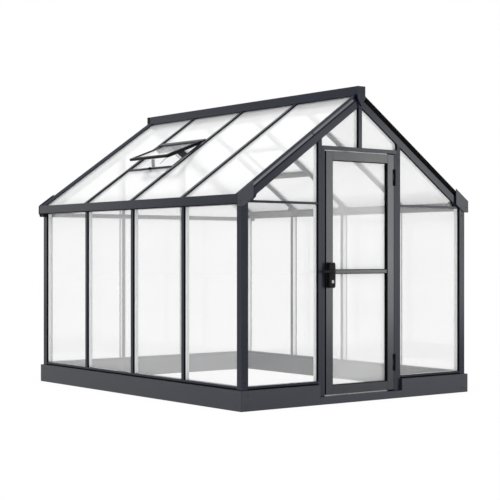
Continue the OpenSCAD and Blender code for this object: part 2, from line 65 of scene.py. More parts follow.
# camera: level, its height and turn fitted to the corners of the base and roof
camera = {"place": (-5.8619, -7.6964, 0.9587), "turn": -37.495, "sensor": 36, "lens": 94.84, "rise": 0.01116}
view = bpy.data.cameras.new("camera")
view.sensor_width = camera["sensor"]
view.lens = camera["lens"]
view.shift_y = camera["rise"]
viewer = bpy.data.objects.new("camera", view)
viewer.location = camera["place"]
viewer.rotation_euler = (math.pi / 2, 0, math.radians(camera["turn"]))
scene.collection.objects.link(viewer)
scene.camera = viewer


# a node with its settings: a key that names or numbers a socket sets it, any other key is a property
def addNode(tree, kind, settings=None, links=None):
    node = tree.nodes.new(kind)
    for key, value in (settings or {}).items():
        if isinstance(key, int) or key in node.inputs:
            node.inputs[key].default_value = value
        else:
            setattr(node, key, value)
    for key, source in (links or {}).items():
        tree.links.new(source, node.inputs[key])
    return node


# sRGB to linear: the straight foot below 0.04045, the 2.4 power above it
def linear(hexCode):
    part = np.array([int(hexCode[i:i + 2], 16) for i in (1, 3, 5)]) / 255
    part = np.where(part <= 0.04045, part / 12.92, ((part + 0.055) / 1.055) ** 2.4)
    return (*part.tolist(), 1.0)


def newMaterial(name):
    made = bpy.data.materials.new(name)
    made.use_nodes = True
    made.node_tree.nodes.clear()
    return made, made.node_tree


# world: white where it is seen, mirrored or seen through, a plain level of light elsewhere
studio = {"white": "#ffffff", "ambient": 1.0, "floorAlbedo": "#f8f8f7", "floorGlow": 0.95,
          "floorReach": 60.0, "floorHub": 0.02, "floorRings": 24, "floorSpokes": 64}


# the larger of the camera, glossy and transmission flags of a ray
def seenBackground(tree):
    path = addNode(tree, "ShaderNodeLightPath")
    first = addNode(tree, "ShaderNodeMath", {"operation": "MAXIMUM"},
                    {0: path.outputs["Is Camera Ray"], 1: path.outputs["Is Glossy Ray"]})
    return addNode(tree, "ShaderNodeMath", {"operation": "MAXIMUM"},
                   {0: first.outputs[0], 1: path.outputs["Is Transmission Ray"]}).outputs[0]


world = bpy.data.worlds.new("studio")
scene.world = world
world.use_nodes = True
tree = world.node_tree
tree.nodes.clear()
strength = addNode(tree, "ShaderNodeMapRange", {"To Min": studio["ambient"], "To Max": 1.0},
                   {"Value": seenBackground(tree)})
glow = addNode(tree, "ShaderNodeBackground", {"Color": linear(studio["white"])},
               {"Strength": strength.outputs[0]})
addNode(tree, "ShaderNodeOutputWorld", links={"Surface": glow.outputs[0]})


# quads of a grid of points; closeRows and closeColumns join the last line to the first
def gridFaces(rows, columns, closeRows=False, closeColumns=False):
    i, j = np.meshgrid(np.arange(rows if closeRows else rows - 1),
                       np.arange(columns if closeColumns else columns - 1), indexing="ij")
    i, j = i.ravel(), j.ravel()
    up, on = (i + 1) % rows, (j + 1) % columns
    return np.stack([i * columns + j, i * columns + on, up * columns + on, up * columns + j], 1)


# walls as quads and caps as whole rings, in one list of faces
def faceList(walls, caps):
    return walls.reshape(-1, 4).tolist() + caps.reshape(-1, caps.shape[-1]).tolist()


# edges of the new pieces that turn by more than this stay sharp
crease = math.radians(35)


# a piece from points and faces, its faces turned outward, that rides on its body
def meshFrom(name, points, faces, finish, body="frame"):
    mesh = bpy.data.meshes.new(name)
    mesh.from_pydata(points.reshape(-1, 3).tolist(), [], faces)
    shape = bmesh.new()
    shape.from_mesh(mesh)
    bmesh.ops.recalc_face_normals(shape, faces=shape.faces)
    shape.to_mesh(mesh)
    shape.free()
    mesh.shade_smooth()
    mesh.set_sharp_from_angle(angle=crease)
    mesh.materials.append(finish)
    made = bpy.data.objects.new(name, mesh)
    scene.collection.objects.link(made)
    if body:
        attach(made, body)
    return made


# straight lengths: the outline's first value lies along side, its second along out, carried from start to end
def straight(name, runs, outline, finish, body="frame"):
    start, end, side, out = (np.array(part, float) for part in zip(*runs))
    shape = np.array(outline, float) * mm
    count, size = len(start), len(shape)
    ring = shape[None, :, :1] * side[:, None] + shape[None, :, 1:] * out[:, None]
    points = np.stack([start[:, None] + ring, end[:, None] + ring], 1)
    first = np.arange(count)[:, None, None] * 2 * size
    here = np.arange(size)
    after = (here + 1) % size
    walls = first + np.stack([here, after, after + size, here + size], 1)
    caps = first + np.stack([here, here + size])
    return meshFrom(name, points, faceList(walls, caps), finish, body)


# closed loops: each corner moves in along its mitre by the outline's first value, along normal by its second
def loops(name, frames, normal, outline, finish, body="frame"):
    corners, normal = np.array(frames, float), np.array(normal, float)
    shape = np.array(outline, float) * mm
    count, size, rim = corners.shape[0], corners.shape[1], len(shape)
    edge = np.roll(corners, -1, 1) - corners
    edge /= np.linalg.norm(edge, axis=2, keepdims=True)
    inward = np.cross(normal, edge)
    before = np.roll(inward, 1, 1)
    mitre = (inward + before) / (1 + (inward * before).sum(2, keepdims=True))
    points = corners[:, :, None] + shape[:, :1] * mitre[:, :, None] + shape[:, 1:] * normal
    faces = gridFaces(size, rim, True, True)[None] + np.arange(count)[:, None, None] * size * rim
    return meshFrom(name, points, faces.reshape(-1, 4).tolist(), finish, body)


# turned pieces: the profile's radius and height spun round each axis; sunk lowers it by ring and spoke
def turned(name, places, axes, profile, finish, body="frame", spokes=16, sunk=0):
    places, axes = np.array(places, float), np.array(axes, float)
    hint = np.where(np.abs(axes[:, 2:]) > 0.9, [[1.0, 0, 0]], [[0, 0, 1.0]])
    first = np.cross(hint, axes)
    first /= np.linalg.norm(first, axis=1, keepdims=True)
    second = np.cross(axes, first)
    shape = np.array(profile, float) * mm
    count, rings = len(places), len(shape)
    turn = np.arange(spokes) * 2 * math.pi / spokes
    height = shape[:, 1:] - np.array(sunk) * mm + 0 * turn
    right, ahead = shape[:, :1] * np.cos(turn), shape[:, :1] * np.sin(turn)
    points = (places[:, None, None] + right[None, ..., None] * first[:, None, None]
              + ahead[None, ..., None] * second[:, None, None]
              + height[None, ..., None] * axes[:, None, None])
    step = np.arange(count)[:, None, None] * rings * spokes
    walls = gridFaces(rings, spokes, closeColumns=True)[None] + step
    caps = np.stack([np.arange(spokes), np.arange(spokes) + (rings - 1) * spokes])[None] + step
    return meshFrom(name, points, faceList(walls, caps), finish, body)


# how far each ring and spoke of a turned head is sunk: all of the first ring, and the first three on the arms
def sunkArms(profile, spokes, arms, depth):
    sunk = np.zeros((len(profile), spokes))
    sunk[:3, ::spokes // arms] = depth
    sunk[0] = depth
    return sunk


# tube: a rounded square, half width and half height by station, upright and square to the heading of the path
def tube(name, path, halfWidth, halfHeight, finish, body="frame", power=2.6, spokes=20):
    heading = np.gradient(path, axis=0)
    heading /= np.linalg.norm(heading, axis=1, keepdims=True)
    across = np.cross(heading, np.array([0, 0, 1.0]))
    across /= np.linalg.norm(across, axis=1, keepdims=True)
    lift = np.cross(across, heading)
    turn = np.arange(spokes) * 2 * math.pi / spokes
    wide = np.sign(np.cos(turn)) * np.abs(np.cos(turn)) ** (2 / power)
    tall = np.sign(np.sin(turn)) * np.abs(np.sin(turn)) ** (2 / power)
    points = (path[:, None] + np.outer(halfWidth, wide)[..., None] * across[:, None]
              + np.outer(halfHeight, tall)[..., None] * lift[:, None])
    stations = len(path)
    caps = np.stack([np.arange(spokes), np.arange(spokes) + (stations - 1) * spokes])
    walls = gridFaces(stations, spokes, closeColumns=True)
    return meshFrom(name, points, faceList(walls, caps), finish, body)


# floor: a flat disc, radius growing with the square of the first parameter, turn with the second
def makeFloor():
    made, tree = newMaterial("matt white studio floor")
    matt = addNode(tree, "ShaderNodeBsdfDiffuse", {"Color": linear(studio["floorAlbedo"])})
    lit = addNode(tree, "ShaderNodeEmission", {"Color": linear(studio["white"]), "Strength": 1.0})
    share = addNode(tree, "ShaderNodeMath", {"operation": "MULTIPLY", 1: studio["floorGlow"]},
                    {0: seenBackground(tree)})
    both = addNode(tree, "ShaderNodeMixShader",
                   links={0: share.outputs[0], 1: matt.outputs[0], 2: lit.outputs[0]})
    addNode(tree, "ShaderNodeOutputMaterial", links={"Surface": both.outputs[0]})
    rings, spokes = studio["floorRings"], studio["floorSpokes"]
    radius, turn = np.meshgrid(np.linspace(studio["floorHub"], 1, rings) ** 2 * studio["floorReach"],
                               np.linspace(0, 2 * math.pi, spokes, endpoint=False), indexing="ij")
    points = np.stack([radius * np.cos(turn), radius * np.sin(turn), np.zeros_like(turn)], -1)
    faces = gridFaces(rings, spokes, closeColumns=True).tolist() + [list(range(spokes))]
    meshFrom("studioFloor", points, faces, made, None)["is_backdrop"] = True


makeFloor()

# softboxes: place, aim, width and height in metres, power in watts
softboxes = {
    "key": {"place": (5.3, -6.4, 1.35), "aim": (0.35, -1.2, 1.35), "size": (2.1, 2.5), "watts": 68},
    "top": {"place": (-0.8, -0.8, 6.3), "aim": (-0.2, 0, 1.4), "size": (3.2, 3.2), "watts": 140},
    "fill": {"place": (-4.4, 7.4, 1.7), "aim": (-0.8, 0.6, 1.1), "size": (2.2, 2.4), "watts": 10},
}
# flags keep the softboxes off the wall, gable and door panes, which then mirror only the white room
flagged = bpy.data.collections.new("flagged")
for name, obj in nodes.items():
    if name.endswith("_panels") and name not in ("left_roof_panels", "right_roof_panels", "vent_panels"):
        flagged.objects.link(obj)
for member in flagged.collection_objects:
    member.light_linking.link_state = "EXCLUDE"
for name, box in softboxes.items():
    lamp = bpy.data.lights.new(name, "AREA")
    lamp.shape = "RECTANGLE"
    lamp.size, lamp.size_y = box["size"]
    lamp.energy = box["watts"]
    holder = bpy.data.objects.new(name, lamp)
    holder.location = box["place"]
    aim = Vector(box["aim"]) - Vector(box["place"])
    holder.rotation_euler = aim.to_track_quat("-Z", "Y").to_euler()
    holder.visible_camera = False
    holder.light_linking.receiver_collection = flagged
    scene.collection.objects.link(holder)
print("studio and camera set")


# Coats and moulded plastics: a clouded tone, an uneven sheen and a fine skin,
# so edges carry a soft light line and broad faces are never quite even.
def coatMaterial(name, spec):
    made, tree = newMaterial(name)
    place = addNode(tree, "ShaderNodeTexCoord").outputs["Object"]
    cloud = addNode(tree, "ShaderNodeTexNoise", {"Scale": 1 / spec["cloud"], "Detail": 3.0},
                    {"Vector": place})
    tone = addNode(tree, "ShaderNodeMix",
                   {"data_type": "RGBA", 6: linear(spec["dark"]), 7: linear(spec["light"])},
                   {0: cloud.outputs[0]})
    rough = addNode(tree, "ShaderNodeMapRange", {"To Min": spec["rough"][0], "To Max": spec["rough"][1]},
                    {"Value": cloud.outputs[0]})
    peel = addNode(tree, "ShaderNodeTexNoise", {"Scale": 1 / spec["peel"], "Detail": 2.0}, {"Vector": place})
    skin = addNode(tree, "ShaderNodeBump", {"Strength": spec["bump"], "Distance": spec["depth"]},
                   {"Height": peel.outputs[0]})
    film = addNode(tree, "ShaderNodeBsdfPrincipled",
                   {"IOR": spec["ior"], "Metallic": 0.0, "Specular IOR Level": spec["gloss"]},
                   {"Base Color": tone.outputs[2], "Roughness": rough.outputs[0], "Normal": skin.outputs[0]})
    addNode(tree, "ShaderNodeOutputMaterial", links={"Surface": film.outputs[0]})
    return made


# Sheets: both faces mirror by Fresnel, the rest passes straight or is spread white by haze and flutes.
# The clear one shows what is behind it through a light veil, the milky one only a hint of it.
# The bands of a wave repeat every pi / 10 over its scale.
def sheetMaterial(name, spec):
    made, tree = newMaterial(name)
    place = addNode(tree, "ShaderNodeTexCoord").outputs["Object"]
    cloud = addNode(tree, "ShaderNodeTexNoise", {"Scale": 1 / spec["cloud"], "Detail": 4.0},
                    {"Vector": place})
    haze = addNode(tree, "ShaderNodeMapRange", {"To Min": spec["haze"][0], "To Max": spec["haze"][1]},
                   {"Value": cloud.outputs[0]})
    face = addNode(tree, "ShaderNodeNewGeometry")
    # a ray leaving the sheet meets the same bend
    bend = addNode(tree, "ShaderNodeMapRange", {"To Min": spec["ior"], "To Max": 1 / spec["ior"]},
                   {"Value": face.outputs["Backfacing"]})
    flute = addNode(tree, "ShaderNodeTexWave",
                    {"wave_type": "BANDS", "bands_direction": spec["along"],
                     "Scale": math.pi / 10 / spec["flute"]}, {"Vector": place})
    skin = addNode(tree, "ShaderNodeBump", {"Strength": spec["bump"], "Distance": spec["depth"]},
                   {"Height": flute.outputs[1]})
    tone = addNode(tree, "ShaderNodeMix",
                   {"data_type": "RGBA", 6: linear(spec["dark"]), 7: linear(spec["light"])},
                   {0: flute.outputs[1]})
    mirror = addNode(tree, "ShaderNodeFresnel", links={"IOR": bend.outputs[0]})
    through = addNode(tree, "ShaderNodeBsdfTransparent", {"Color": linear(spec["tint"])})
    front = addNode(tree, "ShaderNodeBsdfDiffuse", links={"Color": tone.outputs[2]})
    back = addNode(tree, "ShaderNodeBsdfTranslucent", links={"Color": tone.outputs[2]})
    gloss = addNode(tree, "ShaderNodeBsdfGlossy", {"Color": linear("#ffffff"), "Roughness": spec["rough"]},
                    {"Normal": skin.outputs[0]})
    spread = addNode(tree, "ShaderNodeMixShader", {0: spec["pass"]},
                     {1: front.outputs[0], 2: back.outputs[0]})
    soft = addNode(tree, "ShaderNodeMixShader",
                   links={0: haze.outputs[0], 1: through.outputs[0], 2: spread.outputs[0]})
    sheet = addNode(tree, "ShaderNodeMixShader",
                    links={0: mirror.outputs[0], 1: soft.outputs[0], 2: gloss.outputs[0]})
    addNode(tree, "ShaderNodeOutputMaterial", links={"Surface": sheet.outputs[0]})
    return made


# Bare metals: bright, streaked a little by rolling or turning.
def metalMaterial(name, spec):
    made, tree = newMaterial(name)
    place = addNode(tree, "ShaderNodeTexCoord").outputs["Object"]
    cloud = addNode(tree, "ShaderNodeTexNoise", {"Scale": 1 / spec["cloud"], "Detail": 3.0},
                    {"Vector": place})
    rough = addNode(tree, "ShaderNodeMapRange", {"To Min": spec["rough"][0], "To Max": spec["rough"][1]},
                    {"Value": cloud.outputs[0]})
    metal = addNode(tree, "ShaderNodeBsdfPrincipled", {"Base Color": linear(spec["colour"]), "Metallic": 1.0},
                    {"Roughness": rough.outputs[0]})
    addNode(tree, "ShaderNodeOutputMaterial", links={"Surface": metal.outputs[0]})
    return made


# cloud, peel, flute and depth are sizes in metres; a peel is really 0.8 mm, drawn coarser to show
plainSheet = {"tint": "#ffffff", "dark": "#fafafb", "light": "#fdfdfd", "ior": 1.5, "cloud": 0.5,
              "along": "Z", "flute": 0.3, "bump": 0.0, "depth": 0.0005}
finishes = {
    # dark blue-grey with a soft sheen that lightens where a bar faces the key softbox
    "coat": {"dark": "#141823", "light": "#1b202d", "rough": (0.16, 0.24), "ior": 1.42, "gloss": 0.3,
             "cloud": 0.18, "peel": 0.006, "bump": 0.08, "depth": 0.0004},
    # a lighter, duller and more even grey
    "base": {"dark": "#20232c", "light": "#282c36", "rough": (0.30, 0.40), "ior": 1.45, "gloss": 0.44,
             "cloud": 0.25, "peel": 0.008, "bump": 0.1, "depth": 0.0005},
    # the darkest coat, with a clear light line along the stiles
    "door": {"dark": "#11141d", "light": "#171b26", "rough": (0.20, 0.28), "ior": 1.5, "gloss": 0.5,
             "cloud": 0.18, "peel": 0.006, "bump": 0.06, "depth": 0.0004},
    # the frame's colour, too matt to mirror the lock beside it
    "jamb": {"dark": "#141823", "light": "#1b202d", "rough": (0.32, 0.40), "ior": 1.42, "gloss": 0.38,
             "cloud": 0.18, "peel": 0.006, "bump": 0.08, "depth": 0.0004},
    # a plain mid grey that stands out from the vent's black
    "stay": {"dark": "#85878a", "light": "#94969a", "rough": (0.40, 0.50), "ior": 1.5, "gloss": 0.5,
             "cloud": 0.05, "peel": 0.004, "bump": 0.06, "depth": 0.0003},
    # nearly white, so that it melts into the panes
    "channel": {"dark": "#e6e7e8", "light": "#f0f1f1", "rough": (0.30, 0.40), "ior": 1.54, "gloss": 0.5,
                "cloud": 0.10, "peel": 0.004, "bump": 0.05, "depth": 0.0003},
    # deep black with a faint grain
    "nylon": {"dark": "#070708", "light": "#0d0e10", "rough": (0.42, 0.55), "ior": 1.53, "gloss": 0.12,
              "cloud": 0.05, "peel": 0.003, "bump": 0.12, "depth": 0.0004},
    # flat black that draws a thin line beside each bar
    "rubber": {"dark": "#050506", "light": "#0a0a0b", "rough": (0.62, 0.75), "ior": 1.48, "gloss": 0.06,
               "cloud": 0.04, "peel": 0.002, "bump": 0.15, "depth": 0.0003},
    # the three plain sheets, with more and more of a veil
    "clear": {**plainSheet, "haze": (0.10, 0.14), "pass": 0.3, "rough": 0.03},
    "misted": {**plainSheet, "haze": (0.17, 0.21), "pass": 0.12, "rough": 0.04},
    "frosted": {**plainSheet, "haze": (0.26, 0.31), "pass": 0.12, "rough": 0.05},
    # white and fluted, with only shadows of what is behind it
    "milky": {"tint": "#fefefe", "dark": "#f8f8f9", "light": "#fdfdfd", "haze": (0.42, 0.50), "pass": 0.46,
              "ior": 1.5, "rough": 0.12, "cloud": 0.6, "along": "Y", "flute": 0.011, "bump": 0.15,
              "depth": 0.0005},
    # a small bright spot, a long dull grey strip and a dull rod
    "plate": {"colour": "#8c8e91", "rough": (0.22, 0.36), "cloud": 0.004},
    "anodised": {"colour": "#77797f", "rough": (0.30, 0.42), "cloud": 0.12},
    "zinc": {"colour": "#8d8f93", "rough": (0.38, 0.5), "cloud": 0.02},
}
coat = coatMaterial("fluoropolymer-coated extruded aluminium", finishes["coat"])
baseCoat = coatMaterial("powder-coated folded steel", finishes["base"])
doorCoat = coatMaterial("satin powder-coated extruded aluminium", finishes["door"])
jambCoat = coatMaterial("matt fluoropolymer-coated extruded aluminium", finishes["jamb"])
nylon = coatMaterial("moulded black nylon", finishes["nylon"])
stayGrey = coatMaterial("moulded grey nylon", finishes["stay"])
rubber = coatMaterial("extruded black rubber", finishes["rubber"])
pvc = coatMaterial("extruded pale vinyl", finishes["channel"])
clear = sheetMaterial("clear extruded sheet", finishes["clear"])
misted = sheetMaterial("lightly misted extruded sheet", finishes["misted"])
frosted = sheetMaterial("lightly frosted extruded sheet", finishes["frosted"])
milky = sheetMaterial("milky fluted twin-wall sheet", finishes["milky"])
plate = metalMaterial("nickel-plated turned steel", finishes["plate"])
anodised = metalMaterial("grey anodised rolled aluminium", finishes["anodised"])
zinc = metalMaterial("zinc-plated pressed steel", finishes["zinc"])

# the finish of each node; the others are coat, or clear where they are panels
finishOf = {"left_panels": misted, "key_cylinder": plate, "vent_stay": zinc}
for finish, names in (
        (baseCoat, ("base_sides", "base_ends", "threshold", "gutter_end_caps")),
        (doorCoat, ("hinge_stile", "latch_stile", "door_rails", "door_mid_bar")),
        (jambCoat, ("jambs", "door_frame_stiles")),
        (nylon, ("left_vent_frame", "right_vent_frame", "hinge_knuckles", "hinge_pins", "lock_case",
                 "lever")),
        (frosted, ("door_panels", "vent_panels")),
        (milky, ("left_roof_panels", "right_roof_panels"))):
    finishOf.update(dict.fromkeys(names, finish))
# bars: points closer than weld are joined, faces that turn less than flat degrees made whole,
# and edges that turn more than sharp degrees rounded
edges = {"weld": 0.00002, "flat": 1, "sharp": 30, "round": 0.0015, "steps": 2}
for name, obj in nodes.items():
    picked = finishOf.get(name, clear if name.endswith("_panels") else coat)
    for place in obj.material_slots:
        place.material = picked
    if not name.endswith("_panels"):
        weld = obj.modifiers.new("weld", "WELD")
        weld.merge_threshold = edges["weld"]
        flat = obj.modifiers.new("flat", "DECIMATE")
        flat.decimate_type = "DISSOLVE"
        flat.angle_limit = math.radians(edges["flat"])
        edge = obj.modifiers.new("edge", "BEVEL")
        edge.width = edges["round"]
        edge.segments = edges["steps"]
        edge.limit_method = "ANGLE"
        edge.angle_limit = math.radians(edges["sharp"])
print("CAD nodes finished")

# lines of the frame that the small parts follow: in mm where no box of a node gives them
lines = {"studHalf": 15, "postSide": 50, "backStud": 290.3, "apex": 2000.13, "under": 45, "roofTop": 20,
         "sealFoot": 930, "sealHead": 24, "sealGap": 4, "studGap": 12, "lipFoot": 1008, "lipHead": 36}
at = {name: value * mm for name, value in lines.items()}
slope = math.radians(35)
fall, rise = math.cos(slope), math.sin(slope)
paneX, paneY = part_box("right_panels")[1][0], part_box("back_panels")[1][1]
sillX, sillY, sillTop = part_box("sill_rails")[1]
baseX, baseY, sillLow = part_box("base_sides")[1]
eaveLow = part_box("left_eaves_beam")[0][2]
half, studFace = at["studHalf"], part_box("right_studs")[1][0]
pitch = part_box("right_studs")[1][1] - half
postFaceX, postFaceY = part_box("corner_posts")[1][0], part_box("corner_posts")[1][1]
postX, postY = postFaceX - at["postSide"], postFaceY - at["postSide"]
jambIn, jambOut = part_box("door_frame_stiles")[1][0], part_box("jambs")[1][0]
frameFace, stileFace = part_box("door_frame_stiles")[0][1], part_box("hinge_stile")[0][1]
railLow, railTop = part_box("front_rails")[0][2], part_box("front_rails")[1][2]
backRailLow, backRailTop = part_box("back_rails")[0][2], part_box("back_rails")[1][2]
headTop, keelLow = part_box("door_header")[1][2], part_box("ridge_beam")[0][2]
mullion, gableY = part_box("front_mullion")[1][0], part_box("back_rafters")[1][1]


# a point of the roof: side is -1 or 1, across the house by x, up from the slope's own plane by lift
def onRoof(side, x, y, lift):
    down = (x - lift * rise) / fall
    return side * x, y, at["apex"] - down * rise + lift * fall


# an upright run on the front wall, face -1, or the back one, face 1; turn is the way it grows across
def upright(x, face, low, high, turn):
    return (x, face * paneY, low), (x, face * paneY, high), (turn, 0, 0), (0, face, 0)


# seals: black rubber beads at the outer edges of the bars, in mm away from the bar and out from the pane; the
# roof ones lie on the rafters, and the sill and drip ones are black strips of painted shade, in the joint of
# the sill and along the foot of the gutters
seals = {"deep": [(0, 8), (3.2, 8), (3.2, 15), (2.4, 18.5), (0.8, 19.5), (0, 19.5)],
         "shallow": [(0, 0.5), (4.6, 0.5), (4.6, 12), (3.6, 14.5), (1.4, 15.5), (0, 15.5)],
         "rafter": [(0, 1), (3.0, 1), (3.0, 8), (2.0, 10.5), (0, 11.5)],
         "roof": [(0, 0), (3.0, 0), (3.0, 2.5), (2.0, 4.2), (0, 5)],
         "post": [(0, 2), (3.2, 2), (3.2, 15), (2.4, 18.5), (0.8, 19.5), (0, 19.5)],
         # the sill and drip outlines are strips of painted shade, black where the shadow lines under the sill
         # and the gutters fall
         "sill": [(0, 0), (9, 0), (8, 2), (1, 2)],
         "drip": [(0, 0), (7, 0), (6, 1.4), (1, 1.4)]}
# bays of the side walls, from post to stud, stud to stud and stud to post
bays = [(-postY, -pitch - half), (half - pitch, -half), (half, pitch - half), (pitch + half, postY)]
wallRuns = []
for side, name in ((-1, "leftWallSeals"), (1, "rightWallSeals")):
    runs = [((side * paneX, y, sillTop), (side * paneX, y, eaveLow), (0, turn, 0), (side, 0, 0))
            for bay in bays for y, turn in ((bay[0], 1), (bay[1], -1))]
    straight(name, runs, seals["deep"], rubber)
    wallRuns += runs

frontRuns, frontDeep, rafterRuns, backRuns = [], [], [], []
stud, under = at["backStud"], -at["under"]
rafterSpans = {-1: [(at["sealFoot"], jambOut + at["sealGap"]), (jambIn - at["sealGap"], at["sealHead"])],
               1: [(at["sealFoot"], at["sealHead"])]}
for side in (-1, 1):
    outTop, inTop, studTop = (onRoof(side, x, 0, under)[2] for x in (jambOut, jambIn, stud))
    frontRuns += [upright(side * jambOut, -1, sillTop, railLow, side),
                  upright(side * jambOut, -1, railTop, outTop, side),
                  upright(side * jambIn, -1, headTop, inTop, -side),
                  upright(side * mullion, -1, headTop, keelLow, side)]
    frontDeep.append(upright(side * postX, -1, sillTop, railLow, -side))
    for face, spans in rafterSpans.items():
        rafterRuns += [(onRoof(side, a, face * paneY, under), onRoof(side, b, face * paneY, under),
                        (-side * rise, 0, -fall), (0, face, 0)) for a, b in spans]
    backRuns.append(upright(side * postX, 1, sillTop, backRailLow, -side))
    for x, turn in ((stud + half, side), (stud - half, -side)):
        backRuns += [upright(side * x, 1, low, high, turn) for low, high in
                     ((sillTop, backRailLow), (backRailTop, studTop - at["studGap"]))]
straight("frontWallSeals", frontRuns, seals["shallow"], rubber)
straight("frontPostSeals", frontDeep, seals["post"], rubber)
straight("backWallSeals", backRuns, seals["shallow"], rubber)
straight("gableSeals", rafterRuns, seals["rafter"], rubber)

# pale channels behind the seals, that hold the edges of the panes: in mm, how wide they are, how far they
# reach past the inner face of the bars, and how far out from the panes
channel = {"wide": 2.2, "past": 1.5, "wallOut": 8, "frontOut": 1, "slopeOut": 1}
for name, runs, reach, over in (
        ("wallChannels", wallRuns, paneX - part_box("right_studs")[0][0], channel["wallOut"]),
        ("frontChannels", frontRuns + frontDeep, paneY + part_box("jambs")[1][1], channel["frontOut"]),
        ("backChannels", backRuns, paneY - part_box("back_studs")[0][1], channel["frontOut"]),
        ("gableChannels", rafterRuns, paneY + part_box("front_rafters")[1][1], channel["slopeOut"])):
    wide, back = channel["wide"], -channel["past"] - reach / mm
    straight(name, runs, [(0, back), (wide, back), (wide, over), (0, over)], pvc)

# roof seals: thin lips along both sides of the rafters
rafterSides = [(k * pitch + turn * half, turn) for k in (-1, 0, 1) for turn in (-1, 1)]
for side, name in ((-1, "leftRoofSeals"), (1, "rightRoofSeals")):
    runs = [(onRoof(side, at["lipHead"], y, at["roofTop"]), onRoof(side, at["lipFoot"], y, at["roofTop"]),
             (0, turn, 0), (side * rise, 0, fall)) for y, turn in rafterSides]
    straight(name, runs, seals["roof"], rubber)

# painted shade: black strips in the joint between the base and the sill, and along the lower edge of the
# gutters' outer faces, where their shadow lines fall
stretches = [((-sillX, -postY), (-sillX, postY), (-1, 0)), ((sillX, -postY), (sillX, postY), (1, 0)),
             ((-jambOut, -sillY), (-postX, -sillY), (0, -1)), ((jambOut, -sillY), (postX, -sillY), (0, -1)),
             ((-postX, sillY), (postX, sillY), (0, 1))]
runs = [((*start, sillLow), (*end, sillLow), (0, 0, 1), (*out, 0)) for start, end, out in stretches]
straight("sillShadeStrips", runs, seals["sill"], rubber)
# painted shade on the gutters: a black strip along the lower edge of each outer face
runs = []
for side, name in ((-1, "left_eaves_beam"), (1, "right_eaves_beam")):
    low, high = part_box(name)
    edge = low[0] if side < 0 else high[0]
    runs.append(((edge, low[1], low[2]), (edge, high[1], low[2]), (0, 0, 1), (side, 0, 0)))
straight("gutterShadeStrips", runs, seals["drip"], rubber)

# capping strips on the ledge of the gable rafters, in two lengths with a splice between: grey anodised on the
# left slope and black on the right as painted shade, with a black strip of painted shade over the right lips
# and a joint strip under all; spans in mm across the house, set behind the face, lift over the seat
capping = {"outline": [(0, 0), (16, 0), (16, 1.2), (0, 1.2)], "spans": [(50, 392), (399, 885)],
           "lean": (6, 15), "set": 3, "lift": 8,
           "lip": [(0.5, 0), (15, 0), (14.5, 1.0), (1, 1.0)], "lipSpan": (50, 885), "lipLift": 24,
           "joint": [(0.3, 0), (8, 0), (7.5, 1.2), (0.8, 1.2)], "jointSpan": (45, 890), "jointSet": 1}


# the two ends of a strip on a gable rafter
def onGable(side, face, span, back, lift):
    return [onRoof(side, x * mm, face * (gableY - back * mm), lift * mm) for x in span]


runs, joints = [], []
back, climb = capping["lean"]
for side in (-1, 1):
    for face in (-1, 1):
        along = np.array([side * rise * climb, -face * back, fall * climb]) / math.hypot(climb, back)
        out = np.array([side * rise * back, face * climb, fall * back]) / math.hypot(climb, back)
        runs += [(*onGable(side, face, span, capping["set"], capping["lift"]), along, out)
                 for span in capping["spans"]]
        joints.append((*onGable(side, face, capping["jointSpan"], capping["jointSet"], 0),
                       (side * rise, 0, fall), (0, face, 0)))
lips = [(*onGable(1, face, capping["lipSpan"], capping["set"], capping["lipLift"]),
         (rise, 0, fall), (0, face, 0)) for face in (-1, 1)]
straight("leftCappings", runs[:4], capping["outline"], anodised)
# painted shade: the right slope's strips and lips are black rubber where the same strips on the left are grey
# anodised
straight("rightCappingShade", runs[4:], capping["outline"], rubber)
straight("rightLipShade", lips, capping["lip"], rubber)
straight("gableJoints", joints, capping["joint"], rubber)

# corner pieces: gussets between the gable rafters and the posts, brackets on the heads of the back posts,
# and end trims on the gutters; outlines in mm across and up, depth in mm from the middle
corners = {"gusset": {"outline": [(864, 1340), (867, 1324), (893, 1303), (932, 1297), (936, 1292)],
                      "depth": (1208, 1247.5), "faces": (-1, 1)},
           "bracket": {"outline": [(932, 1273), (1013, 1273), (1013, 1257), (1009, 1253), (936, 1253),
                                   (932, 1257)],
                       "depth": (1202, 1262), "faces": (1,)},
           "trim": {"outline": [(1017, 1274), (1018.6, 1275), (1018.6, 1336), (1017, 1337)],
                    "depth": (1259, 1269.5), "faces": (1,)}}
for key, piece in corners.items():
    near, far = (y * mm for y in piece["depth"])
    runs = [((0, face * near, 0), (0, face * far, 0), (side, 0, 0), (0, 0, 1))
            for side in (-1, 1) for face in piece["faces"]]
    straight(key + "Pieces", runs, piece["outline"], nylon)

# a dark sleeve round the back end of the ridge, in mm up and out from the sides of its cap
sleeve = {"long": 34, "foot": 3, "head": 1, "proud": 0.9, "slant": 0.5}
low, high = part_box("ridge_caps")
foot, head = sleeve["foot"], (high[2] - low[2]) / mm - sleeve["head"]
slant, proud = sleeve["slant"], sleeve["proud"]
outline = [(foot, 0), (head, 0), (head - slant, proud), (foot + slant, proud)]
runs = [((side * high[0], high[1] - sleeve["long"] * mm, low[2]), (side * high[0], high[1], low[2]),
         (0, 0, 1), (side, 0, 0)) for side in (-1, 1)]
straight("ridgeSleeve", runs, outline, nylon)
print("seals and strips set")

